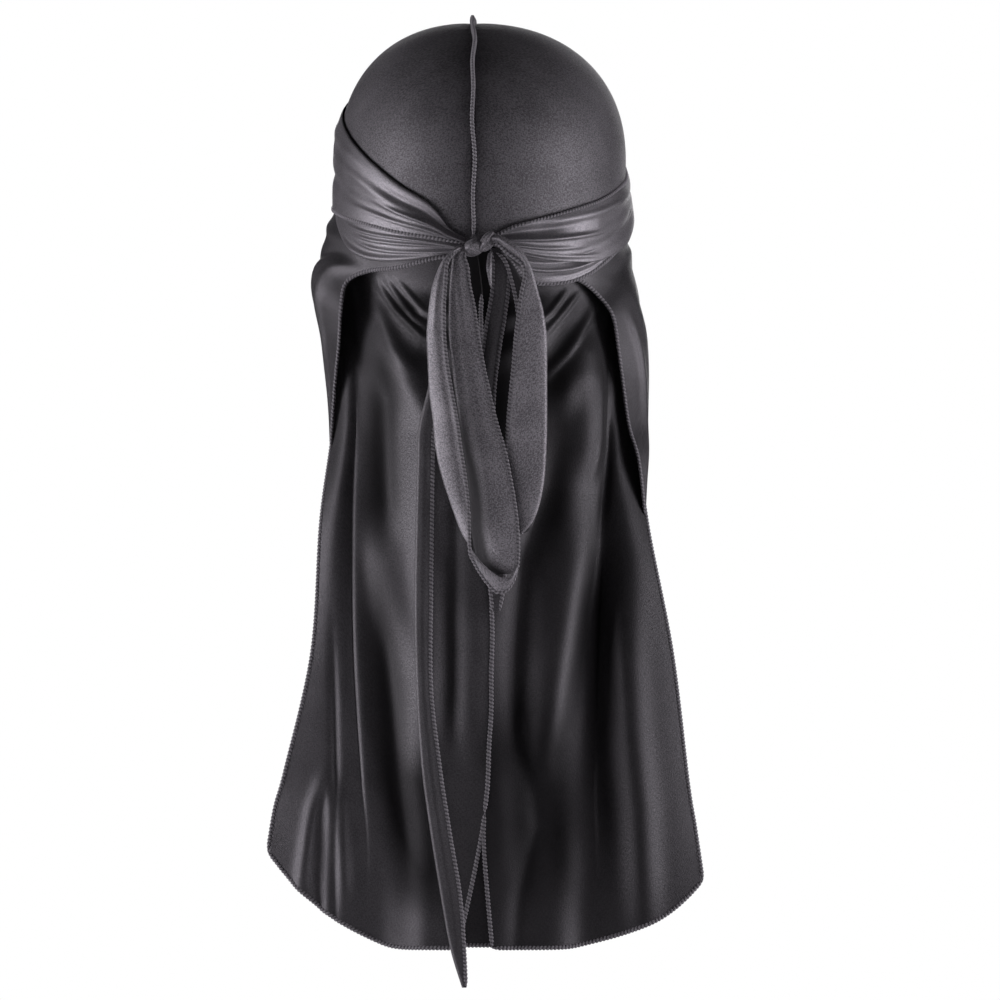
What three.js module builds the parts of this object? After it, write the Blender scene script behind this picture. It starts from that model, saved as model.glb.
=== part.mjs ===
// A tied satin durag: a two-panel crown with a raised centre seam, a strap taken round the
// forehead, a knot with two hanging loops at the nape, and a long open cape below.
// Millimetres, +Z up. The forehead side is +Y, and the knot and the cape are at -Y.
// The origin is the top of the hollow inside the crown.
import * as THREE from 'three';

// Wall thicknesses
const CLOTH = 1.2;
const STRAP = 1.0;
const SEAM_GAP = 0.2;

// The crown's inner hollow
const SEAM_X = -5;
const HALF_WIDTH = { left: 74.4, right: 84.5 };
const HALF_LENGTH = { front: 94, back: 93 };
const DOME_HEIGHT = 77;
const DOME_FULLNESS = 2.25;
const NAPE_TUCK = 0.22;
const SIDE_TUCK = 0.05;
const TUCK_SPAN = 72;
const RIM_DEPTH = { front: 60, back: 123 };
const RIM_SHAPE = 0.7;
const CROWN_GRID = { columns: 18, rows: 10 };

// The fin of cloth edges that stands up along the crown's seam, and the flatter one on the cape
const CROWN_FIN = { height: 4.5, thick: 2, from: 33, to: 116, steps: 32 };
const CAPE_FIN = { height: 1.6, thick: 2 };

const CHARCOAL = new THREE.Color(0x2b2a2e);
const SATIN_ROUGHNESS = 0.45;
const THREAD_ROUGHNESS = 0.8;
const SIDES = { left: -1, right: 1 };

const lerp = (a, b, t) => a + (b - a) * t;
const radians = (degrees) => (degrees * Math.PI) / 180;

// Reads a table at a share of its length, with a smooth curve through the rows of each column
function smoothRow(table, share) {
  const place = Math.min(Math.max(share, 0), 1) * (table.length - 1);
  const index = Math.min(Math.floor(place), table.length - 2);
  const t = place - index;
  const before = table[Math.max(index - 1, 0)];
  const from = table[index];
  const to = table[index + 1];
  const after = table[Math.min(index + 2, table.length - 1)];
  return from.map((value, column) => {
    const slopeIn = (to[column] - before[column]) / 2;
    const slopeOut = (after[column] - value) / 2;
    const rise = to[column] - value;
    return (
      value +
      slopeIn * t +
      (3 * rise - 2 * slopeIn - slopeOut) * t * t +
      (slopeIn + slopeOut - 2 * rise) * t * t * t
    );
  });
}

// One closed solid between an outer and an inner surface, both given as point(u, v)
function shellGeometry(outer, inner, columns, rows) {
  const positions = [];
  const push = (...corners) => {
    for (const [a, b, c] of [corners.slice(0, 3), [corners[0], corners[2], corners[3]]]) {
      const flat = a.distanceTo(b) < 1e-3 || b.distanceTo(c) < 1e-3 || a.distanceTo(c) < 1e-3;
      if (!flat) positions.push(...a.toArray(), ...b.toArray(), ...c.toArray());
    }
  };
  const grid = (surface) =>
    Array.from({ length: columns + 1 }, (_, i) =>
      Array.from({ length: rows + 1 }, (_, j) => surface(i / columns, j / rows)),
    );
  const out = grid(outer);
  const back = grid(inner);
  for (let i = 0; i < columns; i += 1) {
    for (let j = 0; j < rows; j += 1) {
      push(out[i][j], out[i + 1][j], out[i + 1][j + 1], out[i][j + 1]);
      push(back[i][j], back[i][j + 1], back[i + 1][j + 1], back[i + 1][j]);
    }
    push(out[i][0], back[i][0], back[i + 1][0], out[i + 1][0]);
    push(out[i][rows], out[i + 1][rows], back[i + 1][rows], back[i][rows]);
  }
  for (let j = 0; j < rows; j += 1) {
    push(out[0][j], out[0][j + 1], back[0][j + 1], back[0][j]);
    push(out[columns][j], back[columns][j], back[columns][j + 1], out[columns][j + 1]);
  }
  const geometry = new THREE.BufferGeometry();
  geometry.setAttribute('position', new THREE.Float32BufferAttribute(positions, 3));
  geometry.computeVertexNormals();
  return turnedOut(geometry);
}

// Turns every triangle over if the solid's volume comes out negative
function turnedOut(geometry) {
  const p = geometry.attributes.position.array;
  let volume = 0;
  for (let i = 0; i < p.length; i += 9) {
    const a = new THREE.Vector3(p[i], p[i + 1], p[i + 2]);
    const b = new THREE.Vector3(p[i + 3], p[i + 4], p[i + 5]);
    const c = new THREE.Vector3(p[i + 6], p[i + 7], p[i + 8]);
    volume += a.dot(b.cross(c));
  }
  if (volume < 0) {
    for (let i = 0; i < p.length; i += 9) {
      for (let k = 0; k < 3; k += 1) [p[i + 3 + k], p[i + 6 + k]] = [p[i + 6 + k], p[i + 3 + k]];
    }
    geometry.computeVertexNormals();
  }
  return geometry;
}

// A wall of even thickness about a middle surface
function sheetGeometry(middle, thickness, columns, rows) {
  const STEP = 1e-3;
  const offset = (amount) => (u, v) => {
    const point = middle(u, v);
    const u0 = Math.max(u - STEP, 0);
    const v0 = Math.max(v - STEP, 0);
    const along = middle(Math.min(u0 + 2 * STEP, 1), v).sub(middle(u0, v));
    const down = middle(u, Math.min(v0 + 2 * STEP, 1)).sub(middle(u, v0));
    const normal = along.cross(down).normalize();
    return point.addScaledVector(normal, amount);
  };
  return shellGeometry(offset(thickness / 2), offset(-thickness / 2), columns, rows);
}

// A sheet lofted through a table: each row is one section, listed as points x, y, z side by side
function tableSheet(table, thickness, columns, rows) {
  const middle = (u, v) => {
    const row = smoothRow(table, v);
    const points = [];
    for (let i = 0; i < row.length; i += 3) points.push(row.slice(i, i + 3));
    return new THREE.Vector3(...smoothRow(points, u));
  };
  return sheetGeometry(middle, thickness, columns, rows);
}

// A point on the hollow's surface: turn is 0 at the nape and 180 at the forehead, depth is
// measured down from the top of the hollow, and grow moves the point outwards
function hollowPoint(side, turn, depth, grow) {
  const angle = radians(turn);
  const lift = Math.max((DOME_HEIGHT - depth) / DOME_HEIGHT, 0);
  const spread = (1 - lift ** DOME_FULLNESS) ** (1 / DOME_FULLNESS);
  const below = Math.max(depth - DOME_HEIGHT, 0) / TUCK_SPAN;
  const width = (HALF_WIDTH[side] + grow) * spread * (1 - SIDE_TUCK * below * below);
  const atBack = Math.cos(angle) > 0;
  const tuck = atBack ? 1 - NAPE_TUCK * below * below : 1;
  const length = ((atBack ? HALF_LENGTH.back : HALF_LENGTH.front) + grow) * spread * tuck;
  const z = lift > 0 ? -DOME_HEIGHT + (DOME_HEIGHT + grow) * lift : -depth;
  return new THREE.Vector3(
    SEAM_X + SIDES[side] * width * Math.sin(angle),
    -length * Math.cos(angle),
    z,
  );
}

function rimDepth(turn) {
  const share = Math.cos(radians(turn) / 2) ** 2;
  return lerp(RIM_DEPTH.front, RIM_DEPTH.back, share ** RIM_SHAPE);
}

// Half of the crown, from the seam round the side and back to the seam
function crownHalf(side) {
  const surface = (grow) => (u, v) => {
    const turn = 180 * u;
    const depth = rimDepth(turn) * (1 - Math.cos((v * Math.PI) / 2));
    const point = hollowPoint(side, turn, depth, grow);
    point.x += SIDES[side] * SEAM_GAP;
    return point;
  };
  return shellGeometry(surface(CLOTH), surface(0), CROWN_GRID.columns, CROWN_GRID.rows);
}

// The fin that stands on the crown's seam, from the forehead over the top to the nape
function crownSeam() {
  const FOOT = 0.3;
  const surface = (x) => (u, v) => {
    const over = lerp(-CROWN_FIN.from, CROWN_FIN.to, u);
    const turn = over < 0 ? 180 : 0;
    const share = over < 0 ? over / -CROWN_FIN.from : over / CROWN_FIN.to;
    const reach = over < 0 ? CROWN_FIN.from : CROWN_FIN.to;
    const depth = reach * share ** 2;
    const grow = CLOTH + FOOT + v * CROWN_FIN.height;
    const point = hollowPoint('left', turn, depth, grow);
    point.x = x;
    return point;
  };
  const half = CROWN_FIN.thick / 2;
  return shellGeometry(surface(SEAM_X + half), surface(SEAM_X - half), CROWN_FIN.steps, 1);
}

// Straps wrapped on the crown. Each row: turn from the nape in degrees, depth of the top edge and
// of the lower edge, and how far each edge stands off the hollow
const UPPER_WRAP_LEFT = [
  [3.5, 120, 123, 5.8, 6.4],
  [10, 114, 121.5, 4.6, 6.4],
  [19, 101, 119.5, 3.2, 6.6],
  [33, 90, 116.5, 2.6, 6.6],
  [47, 78, 112.5, 2.6, 6.6],
  [62, 66, 108.5, 2.6, 6.6],
  [75, 57, 105.5, 2.8, 6.6],
  [90, 49, 103, 3.4, 6.4],
  [112, 40, 97, 3.4, 5.6],
  [135, 35, 86, 2.8, 4.4],
  [158, 34, 77, 2.6, 3.4],
  [180, 36, 73, 2.6, 3.2],
];
const UPPER_WRAP_RIGHT = [
  [180, 36, 73, 2.6, 3.2],
  [158, 42, 78, 2.6, 4.4],
  [135, 54, 88, 2.8, 5.4],
  [112, 71, 99, 2.8, 6],
  [90, 85, 110, 2.8, 6.4],
  [73, 91.5, 124, 2.8, 6.6],
  [56, 99, 131.5, 2.8, 6.6],
  [45, 103, 133.5, 2.8, 6.6],
  [29, 109, 132.5, 3.2, 6.6],
  [17, 113, 129, 4.6, 6.6],
  [9, 117.5, 125.5, 5, 6.4],
  [3.5, 120, 123.5, 5.8, 6.4],
];
const LOWER_WRAP_LEFT = [
  [5, 123.5, 126.5, 4.4, 4.4],
  [21, 117, 130.5, 4.4, 4.4],
  [36, 112, 132.5, 4.4, 4.4],
  [50, 108, 131.5, 4.4, 4.4],
  [62, 104, 126.5, 4.4, 4.4],
  [74, 100, 117.5, 4.4, 4.4],
  [88, 96, 108, 4.4, 4.4],
  [104, 90, 99, 3.8, 3.8],
];
const LOWER_WRAP_RIGHT = [
  [12, 125, 130, 4.4, 4.4],
  [22, 124, 143, 4.4, 4.4],
  [36, 125, 146, 4.4, 4.4],
  [48, 125, 143.5, 4.4, 4.4],
  [60, 122, 138, 4.4, 4.4],
  [74, 115, 131, 4.4, 4.4],
  [90, 103, 124, 4.4, 4.4],
  [112, 91, 110, 3.9, 3.9],
  [136, 78, 92, 3, 3],
];

const WRAP_ROWS = 3;

function wrapSheet(rowsBySide, columns) {
  const total = rowsBySide.length;
  const middle = (u, v) => {
    const place = Math.min(Math.floor(u * total), total - 1);
    const [side, table] = rowsBySide[place];
    const [turn, top, low, topOff, lowOff] = smoothRow(table, u * total - place);
    return hollowPoint(side, turn, lerp(top, low, v), lerp(topOff, lowOff, Math.sqrt(v)));
  };
  return sheetGeometry(middle, STRAP, columns, WRAP_ROWS);
}

// The roots of the straps: along the nape, over the arch and down the side as a narrowing drape.
// Each row runs from the stitched edge to the hidden front edge: x, y, z of the edge, the belly,
// the shoulder under the wraps and the front
const ROOT_LEFT = [
  [-15, -83.2, -130, -15, -83.6, -129, -15, -84, -128, -15, -84.4, -127],
  [-28, -79.4, -131.5, -28, -80, -129.7, -28, -80.8, -128, -28, -81.7, -126],
  [-47, -67.7, -136.5, -47.7, -68.4, -132, -48.3, -69.4, -127, -49, -70.6, -122],
  [-64, -50, -138.5, -65.5, -48.5, -133, -67, -47.6, -126, -68, -48, -119],
  [-76, -42, -145, -83, -28, -138, -82, -15, -124, -80.4, -6, -102],
  [-79, -47, -160, -94.5, -16, -152, -86, 8, -122, -79, 22, -98],
  [-80, -44, -178, -90, -14, -174, -87, 12, -146, -80, 32, -114],
  [-82.5, -43, -205, -86, -30, -204, -85.5, -18, -196, -83, -2, -182],
  [-85.6, -44.6, -236, -86.2, -44.2, -236.4, -86.4, -43.6, -236, -86.2, -43, -235.4],
];
const ROOT_GRID = { columns: 5, rows: 19 };
const ROOT_RIGHT = [
  [44, -64.5, -140, 44.7, -65, -137.5, 45.3, -65.7, -134, 46, -66.5, -131],
  [56, -53, -144.5, 58.5, -51.5, -139, 60.5, -51.5, -133, 62, -52, -126],
  [66, -46, -153.5, 71.5, -35, -145, 74.5, -25.6, -136, 75.5, -27, -124],
  [73, -46, -164, 84, -26, -152, 81, -8, -132, 79.8, 0, -114],
  [76, -46, -181.5, 91, -22, -172, 83, 8, -134, 75.6, 30, -104],
  [78.5, -46, -200, 93, -20, -194, 85, 16, -154, 74, 38, -120],
  [82, -50, -225, 92.5, -30, -222, 89, -4, -202, 84, 14, -180],
  [87.5, -56, -245, 92, -46, -246, 91, -34, -242, 89, -22, -236],
  [91.6, -57.4, -273, 92.2, -57, -273.4, 92.4, -56.4, -273, 92.2, -55.8, -272.4],
];

// The cape's sections, top to hem. Each row: z at the seam and at the side edge, how round the
// section is (1 follows the neck, 0 is flat), then x and y of the seam, the side valley, the side
// ridge and the side edge
const CAPE_LEFT = [
  [-117, -112, 1, -5, -84.4, -78.4, 8, -76.4, 22, -73, 34],
  [-134, -130, 1, -2, -76, -75, 0, -76, 14, -73, 28],
  [-152, -150, 1, 0, -70, -71, -12, -76, 0, -78, 14],
  [-178, -178, 0.9, 0, -75, -70, -30, -76, -32, -83, -18],
  [-223, -223, 0.7, 3, -84, -70, -48, -77, -56, -83, -34],
  [-279, -279, 0.5, 5, -90, -73, -60, -80, -70, -90, -60],
  [-352, -352, 0.3, 6, -92, -72, -70, -82, -80, -95, -68],
  [-425, -418, 0.15, 2.6, -92, -66, -78, -84, -86, -110, -72],
  [-459, -440, 0.1, -1.4, -92, -62, -79, -86, -87, -116, -73],
  [-518, -464, 0, -14, -92, -60, -80, -88, -88, -120, -74],
];
const CAPE_RIGHT = [
  [-117, -118, 1, -5, -84.4, 78, 6, 75.5, 22, 72, 34],
  [-134, -130, 1, -2, -76, 76, 0, 78, 14, 76, 28],
  [-152, -150, 1, 0, -70, 72, -14, 78, -2, 81, 14],
  [-178, -178, 0.9, 0, -75, 69, -34, 76, -36, 84, -18],
  [-223, -223, 0.7, 3, -84, 70, -50, 75, -53, 86, -26],
  [-279, -279, 0.5, 5, -90, 68, -60, 80, -70, 92, -56],
  [-352, -352, 0.3, 6, -92, 63, -70, 87, -82, 106, -70],
  [-425, -425, 0.15, 3.4, -92, 60, -78, 92, -87, 115, -74],
  [-459, -450, 0.1, 1.4, -92, 60, -79, 96, -88, 119, -75],
  [-518, -480, 0, 6, -92, 60, -80, 98, -88, 123.5, -76],
];
const HEM_ROUNDNESS = 8;

// Folds that run down the cape: height towards the back (negative is a valley), width, and the
// fold's line as x and z pairs
const CAPE_FOLDS = [
  { name: 'nape swag', height: 7, width: 7, line: [-60, -142, -31, -176, 0, -190, 28, -178, 50, -146] },
  { name: 'inner swag', height: 5, width: 6, line: [-48, -142, -30, -160, 0, -170, 30, -160, 44, -146] },
  { name: 'left upper fold', height: 8, width: 9, line: [-66, -170, -54, -212, -37, -234, -24, -279] },
  { name: 'left lower fold', height: 9, width: 9, line: [-66, -290, -56, -312, -46, -346, -36, -400] },
  { name: 'left hollow', height: -8, width: 11, line: [-58, -232, -60, -301, -57, -380, -54, -450] },
  { name: 'middle left fold', height: 4, width: 8, line: [-10, -301, -8, -380, -7, -413] },
  { name: 'right upper fold', height: 7, width: 9, line: [62, -170, 52, -196, 38, -222] },
  { name: 'right long fold', height: 9, width: 10, line: [64, -268, 52, -335, 44, -380, 32, -464] },
  { name: 'right hollow', height: -7, width: 11, line: [44, -232, 40, -290, 26, -360, 22, -440] },
];

function distanceToLine(x, z, line) {
  let nearest = Infinity;
  for (let i = 0; i + 3 < line.length; i += 2) {
    const [ax, az, bx, bz] = line.slice(i, i + 4);
    const length = (bx - ax) ** 2 + (bz - az) ** 2;
    const share = Math.min(Math.max(((x - ax) * (bx - ax) + (z - az) * (bz - az)) / length, 0), 1);
    nearest = Math.min(nearest, Math.hypot(x - lerp(ax, bx, share), z - lerp(az, bz, share)));
  }
  return nearest;
}

function foldHeight(x, z) {
  let height = 0;
  for (const fold of CAPE_FOLDS) {
    height += fold.height * Math.exp(-((distanceToLine(x, z, fold.line) / fold.width) ** 2));
  }
  return height;
}

// The back of the cape curves from the seam round to the side valley, then runs out to the edge
const BACK_SHARE = 0.74;
const CAPE_GRID = { columns: 20, rows: 20 };
const FOLDS_START = { z: -144, span: 18 };

function capePoint(table, side, u, v) {
  const [seamZ, edgeZ, roundness, seamX, seamY, ...rest] = smoothRow(table, v);
  const z = lerp(seamZ, edgeZ, u ** HEM_ROUNDNESS);
  const [valleyX, valleyY] = rest;
  const start = seamX + SIDES[side] * SEAM_GAP;
  if (u <= BACK_SHARE) {
    const share = u / BACK_SHARE;
    const angle = share * (Math.PI / 2);
    const x = lerp(start, valleyX, lerp(share, Math.sin(angle), roundness));
    const y = lerp(seamY, valleyY, lerp(share ** 2, 1 - Math.cos(angle), roundness));
    const below = Math.min(Math.max((FOLDS_START.z - z) / FOLDS_START.span, 0), 1);
    const fade = Math.sqrt(Math.cos(angle)) * below;
    return new THREE.Vector3(x, y - foldHeight(x, z) * fade, z);
  }
  const sideRun = [rest.slice(0, 2), rest.slice(2, 4), rest.slice(4, 6)];
  const [x, y] = smoothRow(sideRun, (u - BACK_SHARE) / (1 - BACK_SHARE));
  return new THREE.Vector3(x, y, z);
}

function capeHalf(side, table) {
  const middle = (u, v) => capePoint(table, side, u, v);
  return sheetGeometry(middle, CLOTH, CAPE_GRID.columns, CAPE_GRID.rows);
}

// The stitched seam that stands on the cape's middle, down to the top of the slit
function capeSeam() {
  const FIRST_ROW = 4;
  const SLIT_ROW = 17;
  const FOOT = 0.6;
  const half = CAPE_FIN.thick / 2;
  const surface = (shift) => (u, v) => {
    const point = capePoint(CAPE_RIGHT, 'right', 0, lerp(FIRST_ROW, SLIT_ROW, u) / CAPE_GRID.rows);
    point.x += shift - SEAM_GAP;
    point.y -= CLOTH / 2 + FOOT + v * CAPE_FIN.height;
    return point;
  };
  return shellGeometry(surface(half), surface(-half), SLIT_ROW - FIRST_ROW, 1);
}

// The cloth that lies behind the slit, down to the hem. Each row: x, y, z of the left edge, then
// of the right edge
const SLIT_UNDERLAP = [
  [-4, -90.2, -450, 5, -89.5, -450],
  [-9, -90.2, -478, 9, -89.2, -478],
  [-18, -90.2, -504, 13, -89.2, -504],
  [-20, -90.2, -516.5, 14, -89.2, -516.5],
];
const UNDERLAP_GRID = { columns: 4, rows: 6 };

// Hanging parts of the straps. Each row: x, y, z of the left edge, then x, y, z of the right edge
const LOOP_FRONT = [
  [-11.4, -96.4, -120.5, -11.2, -96.4, -124],
  [-19, -101.5, -125, -17, -101.5, -129.5],
  [-28, -104, -142, -20.8, -104.5, -144],
  [-31, -104, -167, -21.4, -105.5, -167],
  [-31, -104, -195, -19.2, -106, -195],
  [-28.5, -104.5, -221, -14.8, -107, -221],
  [-22.5, -105, -252, -8.6, -108, -252],
  [-14.5, -106, -277, -6.4, -108.5, -277],
  [-8, -107, -292, -4.6, -108.5, -290],
  [-0.8, -108, -309, 0.4, -108, -301],
  [7.5, -108, -319.5, 7, -108, -308],
  [15.5, -107.5, -317, 12.5, -107.5, -310],
  [20.5, -106.5, -309, 16, -107, -305],
];
const LOOP_BACK = [
  [-10.2, -97, -127.7, -7.6, -97, -129.7],
  [-17, -99.5, -137, -11, -101, -137],
  [-19, -99, -155.5, -7, -101.5, -155.5],
  [-19, -98.5, -178, -3.6, -101.5, -178],
  [-15.5, -98.5, -203, 2, -102, -203],
  [-11.8, -98.5, -228, 9.4, -102.5, -228],
  [-8.4, -99, -251, 15, -103, -251],
  [-6.2, -100, -273, 19, -103.5, -273],
  [-4.4, -101, -292, 20.2, -103.8, -292],
  [1, -102, -306, 18.5, -103.8, -306],
];
const LOOP_RIGHT = [
  [9.5, -96.6, -126.4, 9.7, -96.6, -120.6],
  [16.2, -103, -132, 20.8, -103, -127.6],
  [21.6, -103.5, -138, 26, -103.5, -137],
  [23.4, -104, -149, 31.4, -103.5, -149],
  [20.2, -104.5, -167, 35.8, -103.5, -167],
  [16.8, -105, -191.5, 36.4, -103.5, -191.5],
  [13.6, -103.5, -221, 36, -103.8, -221],
  [14, -101.5, -242, 35.8, -103.2, -242],
  [16, -100.3, -261, 33.8, -102.5, -261],
  [18.6, -99.8, -275, 30.4, -101.5, -275],
  [19.4, -98.5, -279.5, 28.4, -99.5, -279.5],
  [18, -97, -272, 30.5, -97.2, -272],
  [11, -96.8, -234, 31.5, -96.4, -234],
  [1.5, -97, -192, 21.5, -96, -192],
  [3.6, -97.5, -161, 16.8, -96.5, -161],
  [6.8, -98, -134, 13.2, -97.6, -134],
  [8, -95.6, -128.4, 10, -95.6, -127.4],
];
const STRAP_END_LONG = [
  [-11.9, -94, -125.5, -10.2, -94, -127.9],
  [-22, -97.6, -137, -17.5, -97.6, -138],
  [-28, -98.8, -156, -22.5, -98.8, -156],
  [-29, -99, -195, -22, -99, -195],
  [-35.5, -99, -226, -27, -99, -226],
  [-36.6, -99.5, -250, -27.8, -99.5, -250],
  [-38, -101, -320, -28.6, -101, -320],
  [-37, -103, -372, -28.6, -103, -372],
  [-34, -104, -417, -23.6, -104, -417],
  [-29, -104, -454, -18, -104, -454],
  [-23.5, -103, -488, -12.4, -103, -488],
  [-18, -102, -518, -10, -102, -518],
  [-11.4, -102, -540, -9, -102, -540],
];
const STRAP_END_SHORT = [
  [-9.2, -93.6, -129.4, -6.4, -93.6, -130.6],
  [-14.5, -95.4, -140, -9, -95.4, -141],
  [-16, -95.6, -158, -8.5, -95.6, -158],
  [-13, -95.4, -200, -1.5, -95.4, -200],
  [-7, -96.4, -245, 8.6, -96.8, -245],
  [-1, -98, -280, 14, -98.6, -280],
  [3, -99.5, -310, 12.6, -100, -310],
  [7, -100, -328.5, 10.2, -100, -328.5],
];
const KNOT_TUCK = [
  [3.2, -96.8, -128.4, 5.8, -96.8, -128.8],
  [2.2, -100.5, -136, 5.6, -100.5, -136],
  [3, -100.5, -142, 5.4, -100.5, -142],
  [4.4, -100, -148, 5.6, -100, -148],
];

// A hanging strap is lofted from edge to edge, its middle a little proud towards the back
const STRAP_BOW = 0.08;
const STRAP_COLUMNS = 2;

function hangingStrap(table, rows) {
  const middle = (u, v) => {
    const row = smoothRow(table, v);
    const left = new THREE.Vector3(...row.slice(0, 3));
    const right = new THREE.Vector3(...row.slice(3, 6));
    const bow = STRAP_BOW * left.distanceTo(right) * Math.sin(u * Math.PI);
    const point = left.lerp(right, u);
    point.y -= bow;
    return point;
  };
  return sheetGeometry(middle, STRAP, STRAP_COLUMNS, rows);
}

// The knot: a rounded body with the other strap wrapped over it on the slant
const ROUND_STEPS = 14;
const PROFILE_STEPS = 9;
const KNOT = { x: -4.5, y: -94.8, z: -124.5, halfWidth: 6.3, halfDepth: 5.4, halfHeight: 5.8 };
const KNOT_WRAP = { x: 5.7, y: -95.7, z: -123, radius: 3.6, bulge: 2.2, lean: 28 };

function knotBody() {
  const geometry = new THREE.SphereGeometry(1, ROUND_STEPS, ROUND_STEPS / 2 + 2);
  geometry.scale(KNOT.halfWidth, KNOT.halfDepth, KNOT.halfHeight);
  return geometry;
}

function knotWrap() {
  const half = KNOT_WRAP.radius + KNOT_WRAP.bulge;
  const SHOULDER = 0.6;
  const outline = new THREE.CatmullRomCurve3(
    [
      [0, 0, -half],
      [KNOT_WRAP.bulge, 0, -half * SHOULDER],
      [KNOT_WRAP.radius, 0, 0],
      [KNOT_WRAP.bulge, 0, half * SHOULDER],
      [0, 0, half],
    ].map((p) => new THREE.Vector3(...p)),
  );
  const ends = outline.getPoints(PROFILE_STEPS);
  const profile = ends.map((p) => new THREE.Vector2(Math.max(p.x, 0), p.z));
  const geometry = new THREE.LatheGeometry(profile, ROUND_STEPS);
  geometry.rotateX(Math.PI / 2);
  geometry.rotateY(radians(KNOT_WRAP.lean));
  return geometry;
}

const durag = new THREE.Group();

function add(name, geometry, roughness = SATIN_ROUGHNESS) {
  const material = new THREE.MeshStandardMaterial({ color: CHARCOAL, roughness, metalness: 0 });
  const mesh = new THREE.Mesh(geometry, material);
  mesh.name = name;
  durag.add(mesh);
  return mesh;
}

add('crown_left', crownHalf('left'));
add('crown_right', crownHalf('right'));
add('crown_seam', crownSeam(), THREAD_ROUGHNESS);
add('upper_wrap', wrapSheet([['left', UPPER_WRAP_LEFT], ['right', UPPER_WRAP_RIGHT]], 44));
add('lower_wrap_left', wrapSheet([['left', LOWER_WRAP_LEFT]], 18));
add('lower_wrap_right', wrapSheet([['right', LOWER_WRAP_RIGHT]], 20));
add('strap_root_left', tableSheet(ROOT_LEFT, STRAP, ROOT_GRID.columns, ROOT_GRID.rows));
add('strap_root_right', tableSheet(ROOT_RIGHT, STRAP, ROOT_GRID.columns, ROOT_GRID.rows));
add('cape_left', capeHalf('left', CAPE_LEFT));
add('cape_right', capeHalf('right', CAPE_RIGHT));
add('cape_seam', capeSeam(), THREAD_ROUGHNESS);
add('slit_underlap', tableSheet(SLIT_UNDERLAP, CLOTH, UNDERLAP_GRID.columns, UNDERLAP_GRID.rows));
add('loop_left_front', hangingStrap(LOOP_FRONT, 30));
add('loop_left_back', hangingStrap(LOOP_BACK, 18));
add('loop_right', hangingStrap(LOOP_RIGHT, 34));
add('strap_end_long', hangingStrap(STRAP_END_LONG, 24));
add('strap_end_short', hangingStrap(STRAP_END_SHORT, 14));
add('knot_tuck', hangingStrap(KNOT_TUCK, 7));
add('knot', knotBody()).position.set(KNOT.x, KNOT.y, KNOT.z);
add('knot_wrap', knotWrap()).position.set(KNOT_WRAP.x, KNOT_WRAP.y, KNOT_WRAP.z);

export default durag;
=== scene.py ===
import math

import bpy
import numpy as np
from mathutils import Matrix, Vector

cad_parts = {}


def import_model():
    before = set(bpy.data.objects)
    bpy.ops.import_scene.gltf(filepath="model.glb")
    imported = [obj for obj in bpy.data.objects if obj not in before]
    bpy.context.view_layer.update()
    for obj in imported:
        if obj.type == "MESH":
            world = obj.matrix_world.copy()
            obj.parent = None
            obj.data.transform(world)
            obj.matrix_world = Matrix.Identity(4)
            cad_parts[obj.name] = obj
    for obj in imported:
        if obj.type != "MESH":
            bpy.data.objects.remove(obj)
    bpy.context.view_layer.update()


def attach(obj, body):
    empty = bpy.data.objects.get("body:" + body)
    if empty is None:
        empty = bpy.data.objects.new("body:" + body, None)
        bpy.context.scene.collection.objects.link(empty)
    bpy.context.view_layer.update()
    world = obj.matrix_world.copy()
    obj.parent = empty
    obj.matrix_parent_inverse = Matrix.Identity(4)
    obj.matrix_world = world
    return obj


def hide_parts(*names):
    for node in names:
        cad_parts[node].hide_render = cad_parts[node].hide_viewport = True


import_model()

# Sizes are in millimetres, as in the part, and objects are made in metres
MM = 0.001

# Walls of the part, thickness of the satin itself, and which way each side lies
CLOTH = 1.2
STRAP = 1.0
SATIN_THICKNESS = 0.35
SIDES = {"left": -1, "right": 1}

# The crown's inner hollow
SEAM_X = -5
HALF_WIDTH = {"left": 74.4, "right": 84.5}
HALF_LENGTH = {"front": 94, "back": 93}
DOME_HEIGHT = 77
DOME_FULLNESS = 2.25
NAPE_TUCK = 0.22
SIDE_TUCK = 0.05
TUCK_SPAN = 72
RIM_DEPTH = {"front": 60, "back": 123}
RIM_SHAPE = 0.7

# The seam that stands on the crown, sunk into it at its foot
CROWN_FIN = {"height": 4.6, "thick": 2.3, "sunk": 1.6, "from": 37, "to": 119, "stitch": 2.0, "sway": 0.9}

# Overlocked edges: width across the edge, thickness and length of one stitch
HEM = {"wide": 2.4, "thick": 1.7, "stitch": 2.1}
FINE_HEM = {"wide": 2.2, "thick": 1.6, "stitch": 2.2}

# Columns and rows of the cloths' meshes
GRIDS = {
    "crown": (130, 96),
    "upper_wrap": (230, 44),
    "lower_wrap": (170, 40),
    "root": (60, 170),
    "cape": (150, 200),
    "underlap": (30, 50),
    "knot": (72, 48),
}
STRAP_COLUMNS = 22
SEAM_STEPS = 400
TINY = 1e-9


def between(before, start, end, after, t):
    """A smooth curve from start to end, shaped by the points on both sides of them"""
    slope_in = (end - before) / 2
    slope_out = (after - start) / 2
    rise = end - start
    curve = 3 * rise - 2 * slope_in - slope_out
    return start + slope_in * t + curve * t**2 + (slope_in + slope_out - 2 * rise) * t**3


def smooth_rows(table, shares):
    """Rows of a table at shares (0 to 1) of its length, on a smooth curve through each column"""
    rows = np.array(table, float)
    last = len(rows) - 1
    place = np.clip(shares, 0, 1) * last
    index = np.minimum(place.astype(int), last - 1)
    picks = [rows[np.clip(index + shift, 0, last)] for shift in (-1, 0, 1, 2)]
    return between(*picks, (place - index)[..., None])


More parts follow.
